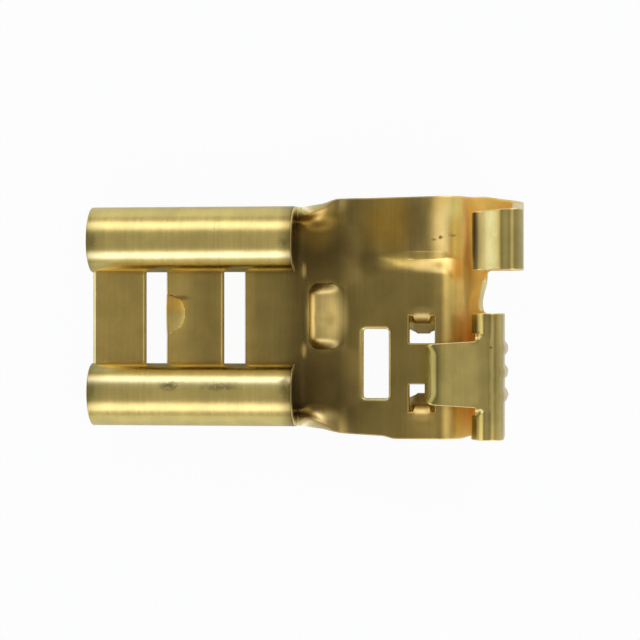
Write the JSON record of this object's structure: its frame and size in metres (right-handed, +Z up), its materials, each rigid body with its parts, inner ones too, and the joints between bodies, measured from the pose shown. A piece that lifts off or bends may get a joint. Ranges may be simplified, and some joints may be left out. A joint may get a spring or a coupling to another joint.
{
  "type": "female spade terminal",
  "caption": "Flag-type female spade terminal of folded sheet brass, with rolled rails that grip a flat tab and an open crimp barrel set square to them.",
  "frame": {"origin": "middle of the bounding box, at the surface the part lies on", "axes": "+X from the mouth towards the crimp barrel, +Y along the crimp barrel towards its insulation wing, +Z up; the receptacle's floor leans 6.8 degrees, its mouth down"},
  "size_m": [0.0154, 0.0086, 0.004],
  "materials": {
    "brass": "bright rolled strip with draw lines along it"
  },
  "bodies": {
    "root": {"terminal": "brass"}
  },
  "joints": []
}
